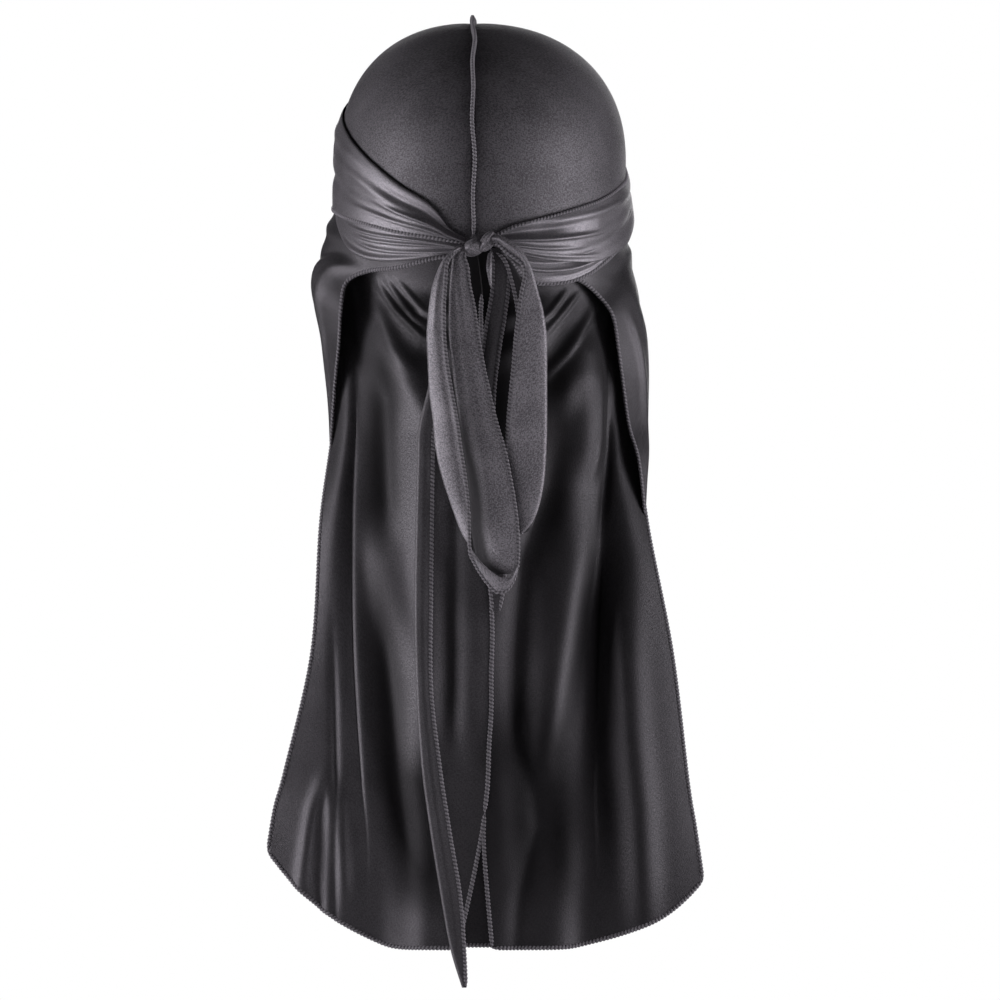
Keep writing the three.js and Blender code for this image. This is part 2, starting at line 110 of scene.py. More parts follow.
def through_stack(stack, place):
    """Points on a smooth curve through a stack of grids; place counts the grids passed"""
    last = len(stack) - 1
    index = np.minimum(place.astype(int), last - 1)
    picks = [np.take_along_axis(stack, np.clip(index + shift, 0, last)[None, ..., None], axis=0)[0]
             for shift in (-1, 0, 1, 2)]
    return between(*picks, (place - index)[..., None])


def grid(columns, rows):
    """Shares across and down a cloth"""
    return np.meshgrid(np.linspace(0, 1, columns + 1), np.linspace(0, 1, rows + 1))


def unit(vectors):
    return vectors / np.maximum(np.linalg.norm(vectors, axis=-1, keepdims=True), TINY)


def normals(points, outward):
    """Unit normals of a grid of points, turned to agree with the outward directions"""
    across = np.gradient(points, axis=1)
    down = np.gradient(points, axis=0)
    normal = unit(np.cross(across, down))
    side = np.sign((normal * outward).sum(axis=-1, keepdims=True))
    return normal * np.where(side == 0, 1, side)


def away_from_axis(points):
    """Directions away from a line up the middle of the crown"""
    middle = np.array([SEAM_X, 0, -DOME_HEIGHT])
    out = points - middle
    out[..., 2] = np.maximum(out[..., 2], 0)
    return out


def backwards(points):
    return np.broadcast_to(np.array([0.0, -1.0, 0.0]), points.shape)


def smooth_step(value, low, high):
    t = np.clip((value - low) / (high - low), 0, 1)
    return t * t * (3 - 2 * t)


# How much a lapped fold narrows on its sharp side, and the shares of its line where it fades
STRIP_LAP = 0.85
FADE_IN = (-0.12, 0.12)
FADE_OUT = (0.75, 1.1)


# A fold on a strip of cloth: where its line starts and ends, as shares along and across the strip,
# its height, its width, and how sharp its lower side is (0 rounded, 1 a lapped edge)
def strip_folds(along, across, span, folds):
    height = np.zeros_like(along)
    for start, start_at, end, end_at, tall, wide, sharp in folds:
        share = (along - start) / (end - start)
        line = start_at + (end_at - start_at) * np.clip(share, 0, 1)
        away = (across - line) * span
        round_side = np.exp(-((away / wide) ** 2))
        sharp_side = np.exp(-((away / (wide * (1 - STRIP_LAP * sharp))) ** 2))
        lapped = np.where(away > 0, sharp_side, round_side)
        fade = smooth_step(share, *FADE_IN) * (1 - smooth_step(share, *FADE_OUT))
        height += tall * lapped * fade
    return height


def beside_line(x, z, line):
    """Signed distance from a line of points, positive to its right as it goes down, and the share
    of the line's length where it is nearest"""
    nearest = np.full(x.shape, np.inf)
    signed = np.zeros(x.shape)
    at = np.zeros(x.shape)
    lengths = [math.dist(a, b) for a, b in zip(line[:-1], line[1:])]
    passed = 0
    for (ax, az), (bx, bz), length in zip(line[:-1], line[1:], lengths):
        dx = bx - ax
        dz = bz - az
        share = np.clip(((x - ax) * dx + (z - az) * dz) / (dx * dx + dz * dz), 0, 1)
        off_x = x - (ax + dx * share)
        off_z = z - (az + dz * share)
        away = np.hypot(off_x, off_z)
        side = np.sign(off_z * dx - off_x * dz)
        closer = away < nearest
        signed = np.where(closer, away * side, signed)
        at = np.where(closer, (passed + share * length) / sum(lengths), at)
        nearest = np.minimum(nearest, away)
        passed += length
    return signed, at


# Making objects
def add_object(name, data):
    thing = bpy.data.objects.new(name, data)
    bpy.context.scene.collection.objects.link(thing)
    return thing


def mesh_object(name, points, faces, uvs, material):
    mesh = bpy.data.meshes.new(name)
    mesh.from_pydata((points * MM).tolist(), [], faces)
    layer = mesh.uv_layers.new(name="cloth")
    corner = np.zeros(len(mesh.loops), dtype=np.int32)
    mesh.loops.foreach_get("vertex_index", corner)
    layer.data.foreach_set("uv", uvs[corner].ravel())
    mesh.shade_smooth()
    mesh.materials.append(material)
    piece = add_object(name, mesh)
    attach(piece, "root")
    return piece


def grid_faces(rows, columns, wraps=False):
    index = np.arange(rows * columns).reshape(rows, columns)
    if wraps:
        index = np.concatenate([index, index[:, :1]], axis=1)
    quads = [index[:-1, :-1], index[1:, :-1], index[1:, 1:], index[:-1, 1:]]
    return np.stack([q.ravel() for q in quads], axis=1).tolist()


def cloth_lengths(points):
    """Lengths across and down a grid of points, which place the weave"""
    across = np.linalg.norm(np.diff(points, axis=1), axis=-1)
    down = np.linalg.norm(np.diff(points, axis=0), axis=-1)
    u = np.pad(np.cumsum(across, axis=1), ((0, 0), (1, 0)))
    v = np.pad(np.cumsum(down, axis=0), ((1, 0), (0, 0)))
    return np.stack([u - u.mean(axis=1, keepdims=True), v], axis=-1)


def satin_piece(name, points, material, inside=None):
    """A cloth from a grid of points on its outer face; inside is the material of its other face"""
    rows, columns = points.shape[:2]
    uvs = cloth_lengths(points).reshape(-1, 2) * MM
    piece = mesh_object(name, points.reshape(-1, 3), grid_faces(rows, columns), uvs, material)
    wall = piece.modifiers.new("wall", "SOLIDIFY")
    wall.thickness = SATIN_THICKNESS * MM
    wall.offset = 0
    if inside:
        piece.data.materials.append(inside)
        wall.material_offset = 1
    wall.use_even_offset = False
    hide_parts(name)
    return piece


def paint_shade(piece, amount):
    """Painted shade on the points of a cloth that lie far inside a fold or hollow, from 0 to 1"""
    shade = piece.data.attributes.new("painted_shade", "FLOAT", "POINT")
    shade.data.foreach_set("value", amount.ravel())


# Beads of stitches: how they are divided, how full a stitch is, how a bead thins at its ends, and how
# a seam wanders
ROPE_SIDES = 10
STITCH_STEPS = 6
FEWEST_STEPS = 8
STITCH = {"crest": 1.1, "groove": 0.42, "groove_width": 0.2}
BEAD_TAPER = {"stitches": 2, "least": 0.05}
SWAY = {"short": 9.0, "long": 23.0, "start": 1.0}


def spaced(path, step):
    """Points along a path, evenly spaced"""
    gaps = np.linalg.norm(np.diff(path, axis=0), axis=1)
    along = np.concatenate([[0], np.cumsum(gaps)])
    count = max(int(along[-1] / step), FEWEST_STEPS)
    at = np.linspace(0, along[-1], count + 1)
    return np.stack([np.interp(at, along, path[:, k]) for k in range(3)], axis=1), at


def overlock(name, path, out, size, node=None, sway=0.0):
    """A bead of stitches along a path: out is the way the cloth faces, and the stitches slant"""
    line, at = spaced(path, size["stitch"] / STITCH_STEPS)
    facing = np.stack([np.interp(np.linspace(0, 1, len(line)), np.linspace(0, 1, len(out)), out[:, k])
                       for k in range(3)], axis=1)
    tangent = unit(np.gradient(line, axis=0))
    side = unit(np.cross(tangent, facing))
    facing = np.cross(side, tangent)
    swing = sway * np.sin(at / SWAY["short"]) * np.sin(at / SWAY["long"] + SWAY["start"])
    line = line + side * swing[:, None]
    turn = np.linspace(0, 2 * math.pi, ROPE_SIDES, endpoint=False)[None, :]
    phase = (turn / (2 * math.pi) - at[:, None] / size["stitch"]) % 1 - 0.5
    bead = STITCH["crest"] - STITCH["groove"] * np.exp(-((phase / STITCH["groove_width"]) ** 2))
    to_end = np.minimum(at, at[-1] - at)[:, None] / (BEAD_TAPER["stitches"] * size["stitch"])
    bead = bead * np.sqrt(np.clip(to_end, BEAD_TAPER["least"], 1))
    wide = (size["wide"] / 2) * bead * np.cos(turn)
    thick = (size["thick"] / 2) * bead * np.sin(turn)
    points = line[:, None, :] + side[:, None, :] * wide[..., None] + facing[:, None, :] * thick[..., None]
    rows = len(line)
    faces = grid_faces(rows, ROPE_SIDES, wraps=True)
    faces.append(list(range(ROPE_SIDES))[::-1])
    faces.append(list(range((rows - 1) * ROPE_SIDES, rows * ROPE_SIDES)))
    stitches = np.broadcast_arrays(turn / (2 * math.pi), at[:, None] / size["stitch"])
    uvs = np.stack(stitches, axis=-1).reshape(-1, 2)
    piece = mesh_object(name, points.reshape(-1, 3), faces, uvs, THREAD)
    if node:
        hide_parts(node)
    return piece


# Materials. Charcoal with a little purple in it
TINT = (1.0, 0.925, 1.045)
SHINE_LEVEL = 0.95


def tinted(level):
    return tuple(level * share for share in TINT)


def shader(name, base, roughness):
    material = bpy.data.materials.new(name)
    material.use_nodes = True
    bsdf = material.node_tree.nodes["Principled BSDF"]
    bsdf.inputs["Base Color"].default_value = (*base, 1)
    bsdf.inputs["Roughness"].default_value = roughness
    bsdf.inputs["Specular Tint"].default_value = (*tinted(SHINE_LEVEL), 1)
    bsdf.inputs["Sheen Tint"].default_value = (*tinted(SHINE_LEVEL), 1)
    return material, material.node_tree, bsdf


def add_node(tree, kind, **values):
    node = tree.nodes.new(kind)
    for key, value in values.items():
        if key in node.inputs:
            node.inputs[key].default_value = value
        else:
            setattr(node, key, value)
    return node


def calculate(tree, operation, *values):
    """A sum on values, each a number or another node's output"""
    node = add_node(tree, "ShaderNodeMath", operation=operation)
    for slot, value in zip(node.inputs, values):
        if isinstance(value, float):
            slot.default_value = value
        else:
            tree.links.new(value, slot)
    return node.outputs["Value"]


def grain(tree, place, scale, turn=0.0):
    """A fine noise, stretched one way on the cloth"""
    stretch = add_node(tree, "ShaderNodeMapping", Scale=scale, Rotation=(0, 0, turn))
    tree.links.new(place.outputs["UV"], stretch.inputs["Vector"])
    noise = add_node(tree, "ShaderNodeTexNoise", Scale=1.0, Detail=2.0, Roughness=0.6)
    tree.links.new(stretch.outputs["Vector"], noise.inputs["Vector"])
    return noise.outputs["Fac"]


def map_range(tree, source, from_span=(0, 1), to_span=(0, 1)):
    """Spreads a value from one span over another"""
    node = add_node(tree, "ShaderNodeMapRange")
    for label, level in zip(("From Min", "From Max", "To Min", "To Max"), (*from_span, *to_span)):
        node.inputs[label].default_value = level
    tree.links.new(source, node.inputs["Value"])
    return node.outputs["Result"]


def shade_ramp(tree, source, dark, light, full=1.0):
    """Colours a value from dark to light, which it reaches at full"""
    node = add_node(tree, "ShaderNodeValToRGB")
    first, last = node.color_ramp.elements
    first.color = (*tinted(dark), 1)
    last.position = full
    last.color = (*tinted(light), 1)
    tree.links.new(source, node.inputs["Fac"])
    return node.outputs["Color"]


def add_bumps(tree, source, bsdf, strength, distance):
    node = add_node(tree, "ShaderNodeBump", Strength=strength, Distance=distance)
    tree.links.new(source, node.inputs["Height"])
    tree.links.new(node.outputs["Normal"], bsdf.inputs["Normal"])


# One charcoal satin in lighter and darker copies by part: painted light and shade for how each part is
# lit. The cape hangs as one loose layer and looks much darker than the crown and the doubled straps, so
# its copy is the darkest, with painted shade
SATIN = {
    "crown": {"dark": 0.0140, "light": 0.0620, "gloss": 0.40, "roughness": 0.56},
    "wraps": {"dark": 0.0110, "light": 0.0580, "gloss": 1.00, "roughness": 0.46},
    "loops": {"dark": 0.0330, "light": 0.1450, "gloss": 0.62, "roughness": 0.47},
    "roots": {"dark": 0.0042, "light": 0.0200, "gloss": 0.45, "roughness": 0.50},
    "cape": {"dark": 0.0012, "light": 0.0070, "gloss": 0.31, "roughness": 0.50},
}
# The weave, and how it and the clouds make shade and gloss
THREAD_PITCH = 0.5
FLOAT_LENGTH = 1.5
CLOUD_SHARE = 0.5
SHADE_SPAN = (1.12, 1.38)
GLOSS_SPAN = (0.7, 1.3)
ROUGHNESS_SPREAD = 0.12
# Painted shade in the hollows: its colour, and the share of the gloss that is left there
PAINTED_SHADE_COLOUR = 0.0012
PAINTED_SHADE_GLOSS = 0.25
# Overlock thread: painted shade in the groove and painted highlight on the crest of a stitch, and its
# strands
OVERLOCK = {"groove": 0.003, "crest": 0.095, "from": 0.08, "to": 0.36, "strands": (14, 7, 1), "slant": 0.8}


def satin_material(part):
    """Satin: fine ribs along the weave, a slight grain, and cloudy changes of shade and gloss"""
    tone = SATIN[part]
    material, tree, bsdf = shader(f"charcoal_satin_{part}", tinted(tone["light"]), tone["roughness"])
    link = tree.links.new
    place = add_node(tree, "ShaderNodeUVMap", uv_map="cloth")

    # Threads float along the cloth and short picks cross them
    fine = 1 / (THREAD_PITCH * MM)
    long = 1 / (FLOAT_LENGTH * MM)
    grains = [grain(tree, place, scale) for scale in ((fine, long, 1), (long, fine, 1))]
    weave = calculate(tree, "ADD", *grains)

    # Cloudy changes of shade
    cloud = add_node(tree, "ShaderNodeTexNoise", Scale=38.0, Detail=3.0, Roughness=0.55)
    link(place.outputs["UV"], cloud.inputs["Vector"])
    shade = calculate(tree, "MULTIPLY_ADD", cloud.outputs["Fac"], CLOUD_SHARE, weave)
    level = map_range(tree, shade, SHADE_SPAN)
    colour = shade_ramp(tree, level, tone["dark"], tone["light"])
    rough = (tone["roughness"] + ROUGHNESS_SPREAD, tone["roughness"] - ROUGHNESS_SPREAD)
    link(map_range(tree, weave, GLOSS_SPAN, rough), bsdf.inputs["Roughness"])

    # Painted shade: far inside a fold or hollow the cloth hardly catches any light, so its colour and
    # gloss are painted darker there
    painted_shade = add_node(tree, "ShaderNodeAttribute", attribute_name="painted_shade")
    inside = add_node(tree, "ShaderNodeMix", data_type="RGBA")
    inside.inputs["B"].default_value = (*tinted(PAINTED_SHADE_COLOUR), 1)
    link(painted_shade.outputs["Fac"], inside.inputs["Factor"])
    link(colour, inside.inputs["A"])
    link(inside.outputs["Result"], bsdf.inputs["Base Color"])
    shine = (tone["gloss"], PAINTED_SHADE_GLOSS * tone["gloss"])
    link(map_range(tree, painted_shade.outputs["Fac"], to_span=shine), bsdf.inputs["Specular IOR Level"])

    add_bumps(tree, weave, bsdf, strength=0.3, distance=0.0004)
    bsdf.inputs["Sheen Weight"].default_value = 0.05
    bsdf.inputs["Sheen Roughness"].default_value = 0.4
    return material


def thread_material():
    """Overlock thread: fuzzy strands, with a painted highlight on the crest of each slanting stitch and
    painted shade in its groove
    """
    material, tree, bsdf = shader("overlock_thread", tinted(0.03), 0.7)
    link = tree.links.new
    place = add_node(tree, "ShaderNodeUVMap", uv_map="cloth")

    # Distance from the groove between two stitches, in parts of a stitch
    parts = add_node(tree, "ShaderNodeSeparateXYZ")
    link(place.outputs["UV"], parts.inputs["Vector"])
    slant = calculate(tree, "SUBTRACT", parts.outputs["X"], parts.outputs["Y"])
    centred = calculate(tree, "SUBTRACT", calculate(tree, "FRACT", slant), 0.5)
    crest = map_range(tree, calculate(tree, "ABSOLUTE", centred), (OVERLOCK["from"], OVERLOCK["to"]))

    strands = grain(tree, place, OVERLOCK["strands"], OVERLOCK["slant"])
    # Painted highlight on the crests and painted shade in the grooves, through the strands
    lit = calculate(tree, "MULTIPLY", crest, strands)
    colour = shade_ramp(tree, lit, OVERLOCK["groove"], OVERLOCK["crest"], full=0.6)
    link(colour, bsdf.inputs["Base Color"])
    add_bumps(tree, strands, bsdf, strength=0.5, distance=0.0003)
    bsdf.inputs["Sheen Weight"].default_value = 0.2
    bsdf.inputs["Sheen Roughness"].default_value = 0.6
    return material


# Lighter and darker copies of the same satin for the parts: painted light and shade
CROWN_SATIN = satin_material("crown")
WRAP_SATIN = satin_material("wraps")
LOOP_SATIN = satin_material("loops")
ROOT_SATIN = satin_material("roots")
CAPE_SATIN = satin_material("cape")
THREAD = thread_material()


# The crown
def hollow_point(side, turn, depth, grow):
    """A point on the hollow: turn is 0 at the nape and 180 at the forehead"""
    angle = np.radians(turn)
    lift = np.maximum((DOME_HEIGHT - depth) / DOME_HEIGHT, 0)
    spread = (1 - lift**DOME_FULLNESS) ** (1 / DOME_FULLNESS)
    below = np.maximum(depth - DOME_HEIGHT, 0) / TUCK_SPAN
    width = (HALF_WIDTH[side] + grow) * spread * (1 - SIDE_TUCK * below**2)
    at_back = np.cos(angle) > 0
    tuck = np.where(at_back, 1 - NAPE_TUCK * below**2, 1)
    reach = np.where(at_back, HALF_LENGTH["back"], HALF_LENGTH["front"])
    length = (reach + grow) * spread * tuck
    x = SEAM_X + SIDES[side] * width * np.sin(angle)
    y = -length * np.cos(angle)
    z = np.where(lift > 0, -DOME_HEIGHT + (DOME_HEIGHT + grow) * lift, -depth)
    return np.stack([x, y, z], axis=-1)


def rim_depth(turn):
    share = np.cos(np.radians(turn) / 2) ** 2
    return RIM_DEPTH["front"] + (RIM_DEPTH["back"] - RIM_DEPTH["front"]) * share**RIM_SHAPE


# Puckers beside the crown's seam, and how far the seam draws the cloth in
PUCKER = {"height": 0.22, "reach": 5.0, "pitch": 8.5, "round": 85, "drift": 1.7, "drift_length": 19}
DRAWN = {"depth": 0.9, "reach": 3.0}


def crown_half(side):
    """One sewn half, drawn tight, with small puckers where the seam gathers it"""
    u, v = grid(*GRIDS["crown"])
    turn = 180 * u
    depth = rim_depth(turn) * (1 - np.cos(v * math.pi / 2))
    points = hollow_point(side, turn, depth, CLOTH)
    from_seam = np.abs(points[..., 0] - SEAM_X)
    along = np.arctan2(points[..., 2] + DOME_HEIGHT, -points[..., 1]) * PUCKER["round"]
    drift = PUCKER["drift"] * np.sin(along / PUCKER["drift_length"])
    wave = np.sin(along * 2 * math.pi / PUCKER["pitch"] + drift)
    pucker = PUCKER["height"] * wave * np.exp(-from_seam / PUCKER["reach"])
    drawn = -DRAWN["depth"] * np.exp(-from_seam / DRAWN["reach"])
    points += normals(points, away_from_axis(points)) * (pucker + drawn)[..., None]
    half = satin_piece(f"crown_{side}", points, CROWN_SATIN)


def crown_seam():
    """The overlocked edges that stand up along the middle of the crown"""
    over = np.linspace(-CROWN_FIN["from"], CROWN_FIN["to"], SEAM_STEPS)
    front = over < 0
    reach = np.where(front, CROWN_FIN["from"], CROWN_FIN["to"])
    depth = reach * (over / reach) ** 2
    turn = np.where(front, 180, 0)
    thick = CROWN_FIN["height"] + CROWN_FIN["sunk"]
    size = {"wide": CROWN_FIN["thick"], "thick": thick, "stitch": CROWN_FIN["stitch"]}
    line = hollow_point("left", turn, depth, CLOTH + (CROWN_FIN["height"] - CROWN_FIN["sunk"]) / 2)
    foot = hollow_point("left", turn, depth, 0)
    overlock("crown_seam", line, line - foot, size, "crown_seam", sway=CROWN_FIN["sway"])


# Straps wrapped on the crown. Each row: turn from the nape, depth of the top edge and of the lower
# edge, and how far each edge stands off the hollow
UPPER_WRAP_LEFT = [
    [3.5, 120, 123, 5.8, 6.4],
    [10, 114, 121.5, 4.6, 6.4],
    [19, 101, 119.5, 3.2, 6.6],
    [33, 90, 116.5, 2.6, 6.6],
    [47, 78, 112.5, 2.6, 6.6],
    [62, 66, 108.5, 2.6, 6.6],
    [75, 57, 105.5, 2.2, 5.4],
    [90, 49, 103, 2, 4.8],
    [112, 40, 97, 2.2, 4.6],
    [135, 35, 86, 2.8, 4.4],
    [158, 34, 77, 2.6, 3.4],
    [180, 36, 73, 2.6, 3.2],
]
UPPER_WRAP_RIGHT = [
    [180, 36, 73, 2.6, 3.2],
    [158, 42, 78, 1.8, 4.4],
    [135, 54, 88, 1.3, 5.4],
    [112, 71, 99, 1.3, 6],
    [90, 85, 110, 1.3, 6.4],
    [73, 91.5, 124, 1.6, 6.6],
    [56, 99, 131.5, 2.2, 6.6],
    [45, 103, 133.5, 2.8, 6.6],
    [29, 109, 132.5, 3.2, 6.6],
    [17, 113, 129, 4.6, 6.6],
    [9, 117.5, 125.5, 5, 6.4],
    [3.5, 120, 123.5, 5.8, 6.4],
]
LOWER_WRAP_LEFT = [
    [5, 123.5, 126.5, 4.4, 4.4],
    [21, 117, 130.5, 4.4, 4.4],
    [36, 112, 132.5, 4.4, 4.4],
    [50, 108, 131.5, 4.4, 4.4],
    [62, 104, 126.5, 4.4, 4.4],
    [74, 100, 117.5, 3.8, 4.2],
    [88, 96, 108, 3, 3.4],
    [104, 90, 99, 2.8, 2.8],
]
LOWER_WRAP_RIGHT = [
    [12, 125, 130, 4.4, 4.4],
    [22, 124, 144, 4.4, 4.4],
    [36, 124, 145, 4.4, 4.4],
    [48, 123, 140.5, 4.4, 4.4],
    [60, 119, 132.5, 4.4, 4.4],
    [74, 111, 122.5, 4.4, 4.4],
    [90, 101, 115.5, 4.4, 4.4],
    [112, 90, 101, 3.4, 3.4],
    [136, 72, 84, 2.2, 2.2],
]

# Folds on the wraps: start along and across, end along and across, height, width, sharpness
UPPER_FOLDS_LEFT = [
    [-0.02, 0.6, 0.34, 0.58, 2.2, 1.6, 0.6],
    [-0.02, 0.3, 0.36, 0.32, -2.2, 3.2, 0],
    [-0.02, 0.8, 0.42, 0.8, 1, 1.4, 0.4],
    [0.2, 0.42, 0.62, 0.34, 1.2, 3.4, 0],
    [0.26, 0.72, 0.8, 0.6, -1.4, 4.2, 0],
    [0.4, 0.16, 0.85, 0.24, 0.9, 3, 0],
]
UPPER_FOLDS_RIGHT = [
    [1.02, 0.48, 0.55, 0.52, 2.2, 1.7, 0.7],
    [1.02, 0.24, 0.66, 0.26, -2.5, 3.2, 0],
    [1.02, 0.74, 0.64, 0.72, 1.5, 1.4, 0.7],
    [0.9, 0.88, 0.56, 0.9, 1, 1.2, 0.5],
    [0.72, 0.14, 0.4, 0.2, 1.4, 2.4, 0.2],
    [0.66, 0.78, 0.34, 0.66, -1.5, 4, 0],
    [0.55, 0.36, 0.28, 0.4, -1.2, 3.4, 0],
]
LOWER_FOLDS_LEFT = [
    [-0.02, 0.34, 0.62, 0.4, 1.5, 1.2, 0.7],
    [-0.02, 0.52, 0.56, 0.54, 1.4, 1.2, 0.7],
    [-0.02, 0.84, 0.52, 0.68, 1.5, 1.4, 0.5],
    [0.02, 0.96, 0.7, 0.92, 2.1, 1.8, 0],
]
LOWER_FOLDS_RIGHT = [
    [-0.02, 0.5, 0.5, 0.44, -1.4, 1.6, 0],
    [-0.02, 0.68, 0.52, 0.62, 1.7, 1.2, 0.7],
    [-0.02, 0.3, 0.46, 0.28, 1.2, 1.2, 0.6],
    [0.2, 0.82, 0.64, 0.84, -0.9, 1.5, 0],
]


def wrap_points(side, table, folds, strap):
    """The outer face of one side of a wrapped strap"""
    u, v = grid(*GRIDS[strap])
    row = smooth_rows(table, u)
    depth = row[..., 1] + (row[..., 2] - row[..., 1]) * v
    off = row[..., 3] + (row[..., 4] - row[..., 3]) * np.sqrt(v)
    points = hollow_point(side, row[..., 0], depth, off)
    span = np.linalg.norm(points[-1] - points[0], axis=-1)[None, :]
    gathers = strip_folds(u, v, span, folds)
    return points + normals(points, away_from_axis(points)) * (gathers + STRAP / 2)[..., None]


def edge_of(points, row):
    """A row of a grid and the directions that the cloth faces there"""
    return points[row], normals(points, away_from_axis(points))[row]


def upper_wrap():
    """The strap round the forehead, stitched along its lower edge on the left and its top on the right"""
    left = wrap_points("left", UPPER_WRAP_LEFT, UPPER_FOLDS_LEFT, "upper_wrap")
    right = wrap_points("right", UPPER_WRAP_RIGHT, UPPER_FOLDS_RIGHT, "upper_wrap")
    points = np.concatenate([left, right[:, 1:]], axis=1)
    strap = satin_piece("upper_wrap", points, WRAP_SATIN)
    for name, half, row in (("upper_wrap_hem_left", left, -1), ("upper_wrap_hem_right", right, 0)):
        line, out = edge_of(half, row)
        overlock(name, line, out, FINE_HEM)


def lower_wrap(side, table, folds, hemmed):
    points = wrap_points(side, table, folds, "lower_wrap")
    wrap = satin_piece(f"lower_wrap_{side}", points, WRAP_SATIN)
    if hemmed:
        line, out = edge_of(points, -1)
        overlock(f"lower_wrap_hem_{side}", line, out, FINE_HEM)


# The roots of the straps: along the nape, over the arch and down the side. Each row: x, y, z of
# the stitched edge, the belly, the shoulder under the wraps and the front
ROOT_LEFT = [
    [-15, -83.2, -130, -15, -83.6, -129, -15, -84, -128, -15, -84.4, -127],
    [-28, -79.4, -131.5, -28, -80, -129.7, -28, -80.8, -128, -28, -81.7, -126],
    [-47, -67.7, -136.5, -47.7, -68.4, -132, -48.3, -69.4, -127, -49, -70.6, -122],
    [-64, -50, -138.5, -65.5, -48.5, -133, -67, -47.6, -126, -68, -48, -119],
    [-76, -42, -145, -87, -26, -132, -84, -15, -120, -80.4, -6, -102],
    [-79, -47, -160, -95.5, -18, -146, -87, 8, -120, -79, 22, -98],
    [-80, -44, -178, -90, -14, -174, -87, 12, -146, -80, 32, -114],
    [-82.5, -43, -205, -86, -30, -204, -85.5, -18, -196, -83, -2, -182],
    [-84.6, -42.6, -238, -84.8, -42.2, -238.4, -84.9, -41.8, -238, -84.8, -41.4, -237.4],
]
ROOT_RIGHT = [
    [44, -64.5, -140, 44.7, -65, -137.5, 45.3, -65.7, -134, 46, -66.5, -131],
    [56, -53, -144.5, 58.5, -51.5, -139, 60.5, -51.5, -133, 62, -52, -126],
    [66, -46, -153.5, 71.5, -35, -145, 74.5, -25.6, -136, 75.5, -27, -124],
    [73, -46, -164, 84, -26, -152, 81, -8, -132, 79.8, 0, -114],
    [76, -46, -181.5, 91, -22, -172, 83, 8, -134, 75.6, 30, -104],
    [78.5, -46, -200, 93, -20, -194, 85, 16, -154, 74, 38, -120],
    [82, -50, -225, 92.5, -30, -222, 89, -4, -202, 84, 14, -180],
    [87.5, -56, -245, 92, -46, -246, 91, -34, -242, 89, -22, -236],
    [90.8, -56.6, -275, 91, -56.2, -275.4, 91.1, -55.8, -275, 91, -55.4, -274.4],
]

# Folds on the side drapes: start down and across, end down and across, height, width, sharpness
ROOT_FOLDS = [
    [0.42, 0.2, 0.95, 0.3, 1.6, 3.5, 0],
    [0.45, 0.45, 0.92, 0.55, -2.2, 5, 0],
    [0.4, 0.7, 0.88, 0.8, 1.8, 5, 0],
]


def strap_root(side, table):
    u, v = grid(*GRIDS["root"])
    row = smooth_rows(table, v)
    points = through_stack(np.stack([row[..., i:i + 3] for i in (0, 3, 6, 9)]), u * 3)
    out = points - np.array([SEAM_X, 0, 0])
    out[..., 2] = 0
    span = np.linalg.norm(points[:, -1] - points[:, 0], axis=-1)[:, None]
    folds = strip_folds(v, u, span, ROOT_FOLDS)
    normal = normals(points, out)
    points = points + normal * (folds + STRAP / 2)[..., None]
    root = satin_piece(f"strap_root_{side}", points, ROOT_SATIN)
    hem = overlock(f"strap_root_hem_{side}", points[:, 0], normal[:, 0], HEM)


# The cape. Each row: z at the seam and at the side edge, how round the section is, then x and y of
# the seam, the side valley, the side ridge and the side edge
CAPE_LEFT = [
    [-117, -112, 1, -5, -84.4, -78.4, 8, -76.4, 22, -73, 34],
    [-134, -130, 1, -2, -76, -75, 0, -76, 14, -73, 28],
    [-152, -150, 1, 0, -70, -71, -12, -76, 0, -78, 14],
    [-178, -178, 0.9, 0, -75, -70, -30, -76, -32, -83, -18],
    [-223, -223, 0.7, 3, -84, -70, -48, -77, -56, -83, -34],
    [-279, -279, 0.5, 5, -90, -73, -60, -80, -70, -90, -60],
    [-352, -352, 0.3, 6, -92, -72, -70, -82, -74, -95, -68],
    [-425, -418, 0.15, 2.6, -92, -66, -78, -84, -80, -110, -71],
    [-459, -440, 0.1, -1.4, -92, -62, -79, -86, -83, -116, -70],
    [-518, -464, 0, -14, -92, -60, -80, -88, -85, -120, -71],
]
CAPE_RIGHT = [
    [-117, -118, 1, -5, -84.4, 78, 6, 75.5, 22, 72, 34],
    [-134, -130, 1, -2, -76, 76, 0, 78, 14, 76, 28],
    [-152, -150, 1, 0, -70, 72, -14, 78, -2, 81, 14],
    [-178, -178, 0.9, 0, -75, 69, -34, 76, -36, 84, -18],
    [-223, -223, 0.7, 3, -84, 70, -50, 75, -53, 86, -26],
    [-279, -279, 0.5, 5, -90, 68, -60, 80, -70, 92, -56],
    [-352, -352, 0.3, 6, -92, 63, -70, 87, -82, 106, -70],
    [-425, -425, 0.15, 3.4, -92, 60, -78, 92, -87, 115, -74],
    [-459, -450, 0.1, 1.4, -92, 60, -79, 96, -88, 119, -75],
    [-518, -480, 0, 6, -92, 60, -80, 98, -88, 123.5, -76],
]
# The cape's sections
HEM_ROUNDNESS = 8
BACK_SHARE = 0.74
SEAM_LAP = 0.4
SECTION_SMOOTHING = 220

# Where the cape's folds start, how they fade at their ends, and how much a lapped one narrows
FOLDS_START = {"z": -144, "span": 18}
FINE_START = (136, 146)
FOLD_ENDS = (-0.02, 0.3)
CAPE_LAP = 0.8

